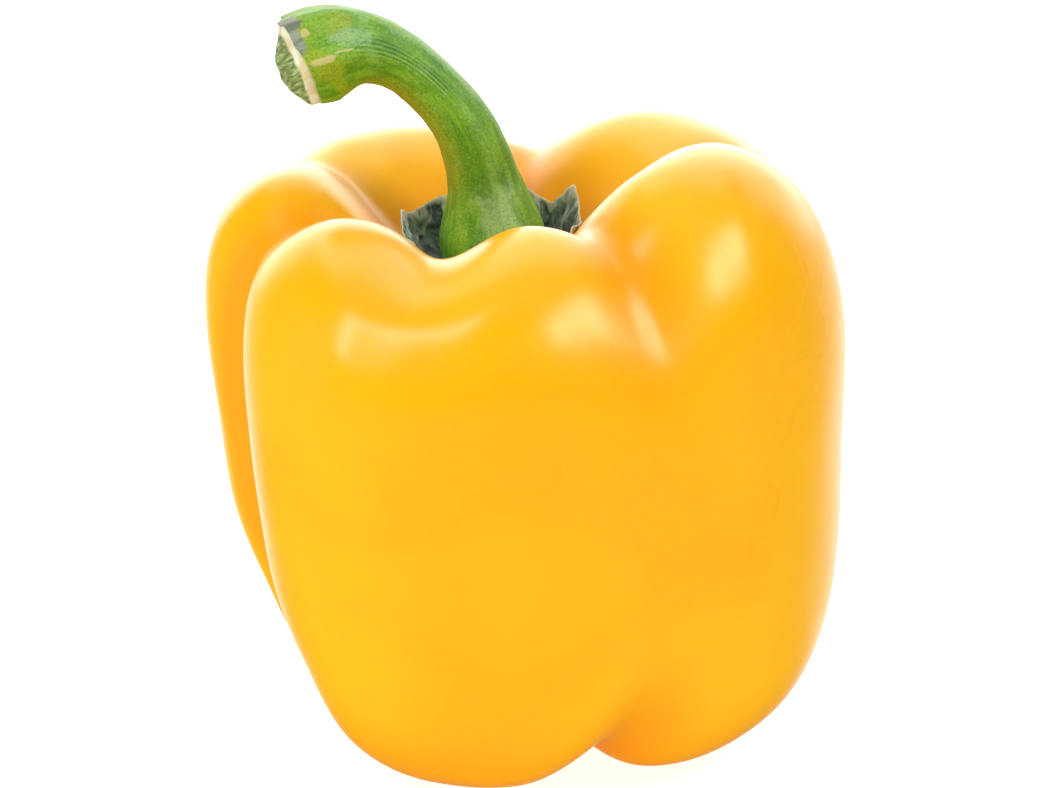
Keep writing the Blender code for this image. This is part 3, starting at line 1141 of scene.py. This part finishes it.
    def pith(self, rim: Array) -> Surface:
        """The cut end: a corky ring that stands out of the skin's rim, and the domed pith inside it.

        Args:
            rim: the skin's last ring, in mm.

        Returns:
            A closed plug from inside the skin to the dome's middle.
        """
        basis = clamped_basis(len(self.pith_profile), np.linspace(0.0, 1.0, self.pith_rows))
        steps = basis @ self.pith_profile
        reach, rise = steps.T
        facing = unit(np.array(self.cut_facing))
        middle = rim.mean(axis=0)
        flat_rim = rim - ((rim - middle) @ facing)[:, None] * facing
        points = self._inwards(flat_rim, steps)
        across = unit(np.cross(facing, self.pith_upward))
        upward = np.cross(across, facing)
        sink = self.pith_sink * through(rise, *self.pith_sink_zone)
        points -= sink[:, None, None] * upward
        lumps = self.pith_lumps.rise(points) * through(rise, *self.pith_lump_zone)[:, None]
        points += lumps[..., None] * facing
        from_middle = points - middle
        beside = self.pith_strand_share * (from_middle @ across)
        grain_way = np.stack([beside, from_middle @ upward, np.zeros_like(beside)], axis=-1)
        return Surface(points, {"out": reach[:, None] * np.ones(len(rim)), "grain_way": grain_way * MM})

    def build(self, shift: Array) -> None:
        """Builds the stalk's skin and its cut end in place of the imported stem.

        Args:
            shift: how far the pepper stands from its drawing's middle, in mm.
        """
        skin = self.skin()
        skin.shift(shift)
        pith = self.pith(skin.points[self.stations - 1])
        place_piece("stalk_skin", skin, self.skin_finish, Slot.STALK, Solid.STALK)
        place_piece("stalk_pith", pith, self.pith_finish, Slot.STALK, Solid.STALK)


@dataclass
class Calyx:
    """The calyx: a thin dried cup round the stalk's foot, crumpled, with veins out to curling teeth.

    Its profile holds radii and heights in mm, and its teeth hold azimuths in degrees and rises in mm.
    Zones are shares of the way from its middle to its edge, but the front's is in degrees. Its net of
    veins lies where a random pattern crosses nothing.
    """

    centre_x: float = -5.2
    thickness: float = 0.8
    edge_thickness: float = 0.2
    profile: tuple[tuple[float, float], ...] = (
        (3.5, 68.4), (6.5, 68.5), (8.4, 68.9), (10.0, 70.1), (11.3, 71.9), (12.1, 73.8), (12.5, 75.2),
    )
    teeth: tuple[tuple[float, float], ...] = (
        (27.0, 3.7), (68.0, 1.8), (124.0, 1.0), (180.0, 1.7), (232.0, 1.0), (288.0, 1.6), (336.0, 1.2),
    )
    front_azimuth: float = 268.0
    front_zone: tuple[float, float] = (80.0, 38.0)
    front_drop: float = 3.4
    tooth_half_width: float = 24.0
    tooth_tip: float = 2.5
    tooth_hollow: float = 1.7
    curl: float = 0.06
    crumple: Unevenness = Unevenness(2.6, 0.55, 8.1)
    creases: Unevenness = Unevenness(1.1, 0.22, 3.7)
    veins: Unevenness = Unevenness(2.8, 1.0, 1.9, 0.6)
    vein_width: float = 0.07
    vein_height: float = 0.12
    net_strength: float = 0.8
    midrib_half_width: float = 2.0
    midrib_zone: tuple[float, float] = (0.1, 0.4)
    teeth_zone: tuple[float, float] = (0.55, 1.0)
    loose_zone: tuple[float, float] = (0.3, 0.75)
    thin_zone: tuple[float, float] = (0.5, 1.0)
    papery_zone: tuple[float, float] = (0.88, 1.0)
    papery_fray: float = 0.1
    columns: int = 300
    rows: int = 48
    finish: DriedSepal = DriedSepal()

    def _edge_rise(self, azimuth: Array) -> Array:
        """How far the edge rises: in blunt points with hollow sides, and less at the front.

        Args:
            azimuth: where to take it, in degrees.

        Returns:
            The rise there, in mm.
        """
        rises = []
        for tooth, rise in self.teeth:
            turn = np.hypot(turn_between(tooth, azimuth), self.tooth_tip) - self.tooth_tip
            rises.append(rise * np.maximum(0.0, 1.0 - turn / self.tooth_half_width) ** self.tooth_hollow)
        dropped = through(np.abs(turn_between(self.front_azimuth, azimuth)), *self.front_zone)
        return np.max(rises, axis=0) - self.front_drop * dropped

    def surface(self) -> Surface:
        """Draws the cup's upper side out to the edge, over it and back along the lower side.

        Returns:
            The closed cup, with the values that its finish reads.
        """
        azimuth = 360.0 * np.arange(self.columns) / self.columns
        shares = np.linspace(0.0, 1.0, self.rows)
        basis = clamped_basis(len(self.profile), shares)
        radius, height = (basis @ np.array(self.profile)).T
        lift = through(shares, *self.teeth_zone)[:, None] * self._edge_rise(azimuth)[None]
        reach = radius[:, None] + self.curl * np.maximum(lift, 0.0) ** 2
        angle = np.radians(azimuth)
        places = [self.centre_x + reach * np.cos(angle), reach * np.sin(angle), height[:, None] + lift]
        upper = Surface(np.stack(places, axis=-1), {})
        loose = through(shares, *self.loose_zone)[:, None]
        crumple = self.crumple.pattern(upper.points)
        creases = self.creases.pattern(upper.points)
        nearest = np.min([np.abs(turn_between(tooth, azimuth)) for tooth, _ in self.teeth], axis=0)
        from_foot = through(shares, *self.midrib_zone)[:, None]
        midrib = hump(nearest, self.midrib_half_width)[None] * from_foot
        net = hump(self.veins.pattern(upper.points), self.vein_width)
        vein = np.maximum(midrib, self.net_strength * net * loose)
        folds = self.crumple.depth * crumple + self.creases.depth * creases
        upper.push(loose * folds + self.vein_height * vein)
        thinning = (self.edge_thickness - self.thickness) * through(shares, *self.thin_zone)
        lower = upper.points - upper.normals() * (self.thickness + thinning)[:, None, None]
        edge = through(shares[:, None] + self.papery_fray * creases, *self.papery_zone)
        values = {"vein": vein, "edge": edge, "fold": np.clip(0.5 + crumple, 0.0, 1.0)}
        both = {name: np.concatenate([value, value[::-1]]) for name, value in values.items()}
        return Surface(np.concatenate([upper.points, lower[::-1]]), both)

    def build(self, shift: Array) -> None:
        """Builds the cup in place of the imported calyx.

        Args:
            shift: how far the pepper stands from its drawing's middle, in mm.
        """
        cup = self.surface()
        cup.shift(shift)
        place_piece("calyx_cup", cup, self.finish, Slot.CALYX, Solid.CALYX)


class Reach(Enum):
    """What a light reaches: both, only the colour of things, or only their gloss."""

    BOTH = (True, True)
    COLOUR = (True, False)
    GLOSS = (False, True)


@dataclass(frozen=True)
class Softbox:
    """A rectangular studio light: its place, aim, sides and radiance, and what it reaches."""

    name: str
    place: Place
    aim: Place
    sides: tuple[float, float]
    radiance: float
    reach: Reach = Reach.BOTH

    def build(self) -> None:
        """Hangs the light, with the power that gives its radiance."""
        lamp = bpy.data.lights.new(self.name, "AREA")
        lamp.shape = "RECTANGLE"
        lamp.size, lamp.size_y = self.sides
        lamp.energy = self.radiance * math.pi * self.sides[0] * self.sides[1]
        obj = bpy.data.objects.new(self.name, lamp)
        obj.location = self.place
        direction = Vector(self.aim) - Vector(self.place)
        obj.rotation_euler = direction.to_track_quat("-Z", "Y").to_euler()
        obj.visible_camera = False
        obj.visible_diffuse, obj.visible_glossy = self.reach.value
        bpy.context.scene.collection.objects.link(obj)


LEFT_STAND: Place = (-0.44, -0.31, 0.5)
RIGHT_STAND: Place = (0.45, -0.3, 0.52)
CROWN: Place = (0.0, 0.0, 0.06)
WAIST: Place = (0.0, 0.0, 0.05)


@dataclass
class Studio:
    """The pale floor, the soft lights and the camera.

    Lengths are in metres, but a pixel and the sensor are in mm. The room's bands are the parts of a
    direction that lie along Y and Z.
    """

    target: Place = (0.0005, 0.0, 0.0504)
    elevation: float = 18.0
    distance: float = 0.6
    pixel_size: float = 0.1413
    sensor_width: float = 36.0
    nearest_drawn: float = 0.01
    floor_half: float = 4.0
    room_white: str = "#ffffff"
    ambient_front: float = 0.05
    ambient_back: float = 1.8
    back_band: tuple[float, float] = (0.45, 0.92)
    floor_band: tuple[float, float] = (-0.6, -0.38)
    below_floor: float = 0.1
    finish: OpalSheet = OpalSheet()
    lights: tuple[Softbox, ...] = (
        Softbox("left_key", LEFT_STAND, CROWN, (0.17, 0.17), 15.5, Reach.COLOUR),
        Softbox("left_glint", LEFT_STAND, CROWN, (0.06, 0.5), 32.0, Reach.GLOSS),
        Softbox("right_key", RIGHT_STAND, CROWN, (0.17, 0.17), 17.5, Reach.COLOUR),
        Softbox("right_glint", RIGHT_STAND, CROWN, (0.6, 0.24), 17.0, Reach.GLOSS),
        Softbox("front_fill", (0.0, -0.9, 0.5), WAIST, (1.6, 0.5), 0.62, Reach.COLOUR),
        Softbox("top_fill", (0.0, -0.1, 0.9), WAIST, (0.8, 0.8), 1.5, Reach.COLOUR),
        Softbox("side_fill", (-0.9, -0.1, 0.25), WAIST, (0.5, 0.6), 2.4, Reach.COLOUR),
        Softbox("low_fill", (0.0, -0.7, 0.06), (0.0, 0.0, 0.03), (0.9, 0.1), 0.3, Reach.COLOUR),
        Softbox("back_softbox", (0.0, 0.5, 0.75), (0.0, 0.12, 0.0), (0.8, 0.4), 1.0),
        Softbox("overhead_sheet", (0.0, 0.35, 0.85), (0.0, 0.05, 0.0), (1.0, 0.35), 2.8, Reach.GLOSS),
        Softbox("back_sheet", (0.0, 1.0, 0.55), (0.0, 0.0, 0.1), (2.6, 1.0), 2.5, Reach.GLOSS),
    )

    def build_floor(self) -> None:
        """Lays the sheet under the pepper, as part of the stage."""
        half = self.floor_half
        mesh = bpy.data.meshes.new("floor_sheet")
        corners = [(-half, -half, 0), (half, -half, 0), (half, half, 0), (-half, half, 0)]
        mesh.from_pydata(corners, [], [(0, 1, 2, 3)])
        mesh.materials.append(self.finish.material())
        floor = bpy.data.objects.new("floor_sheet", mesh)
        floor.visible_glossy = False
        bpy.context.scene.collection.objects.link(floor)

    def build_surroundings(self) -> None:
        """Lights the room: bright behind the pepper, soft behind the camera and dark below the floor."""
        graph = Graph(bpy.data.worlds.new("studio_room"), "Background")
        direction = graph.add("TexCoord", {}, "Generated")
        back = graph.add("SeparateXYZ", {"Vector": direction}, "Y")
        up = graph.add("SeparateXYZ", {"Vector": direction}, "Z")
        back_start, back_end = self.back_band
        floor_start, floor_end = self.floor_band
        brightness = graph.add("MapRange", {
            "Value": back,
            "From Min": back_start,
            "From Max": back_end,
            "To Min": self.ambient_front,
            "To Max": self.ambient_back,
        }, interpolation_type=Easing.SOFT.value)
        over_floor = graph.add("MapRange", {
            "Value": up,
            "From Min": floor_start,
            "From Max": floor_end,
            "To Min": self.below_floor,
        }, interpolation_type=Easing.SOFT.value)
        both = {"Value": brightness, "Value_001": over_floor}
        strength = graph.add("Math", both, operation="MULTIPLY")
        graph.fill(graph.shader, {"Color": linear(self.room_white), "Strength": strength})
        bpy.context.scene.world = graph.owner

    def build_camera(self) -> None:
        """Aims the camera from the front and a little above, with the pepper filling the picture."""
        angle = math.radians(self.elevation)
        back = Vector((0.0, -math.cos(angle), math.sin(angle)))
        lens = bpy.data.cameras.new("camera")
        lens.sensor_width = self.sensor_width
        lens.lens = lens.sensor_width * self.distance / (self.pixel_size * MM * IMAGE_WIDTH)
        lens.clip_start = self.nearest_drawn
        camera = bpy.data.objects.new("camera", lens)
        camera.location = Vector(self.target) + back * self.distance
        camera.rotation_euler = (-back).to_track_quat("-Z", "Y").to_euler()
        bpy.context.scene.collection.objects.link(camera)
        bpy.context.scene.camera = camera

    def build(self) -> None:
        """Builds the stage and sets the plain view transform."""
        self.build_floor()
        self.build_surroundings()
        for light in self.lights:
            light.build()
        self.build_camera()
        bpy.context.scene.view_settings.view_transform = "Standard"


def main() -> None:
    """Builds the pepper from its fruit to its stalk, and the studio round it."""
    logging.basicConfig(level=logging.INFO, format="%(message)s")
    shift = Fruit().build()
    Calyx().build(shift)
    Stalk().build(shift)
    Studio().build()


if __name__ == "__main__":
    main()
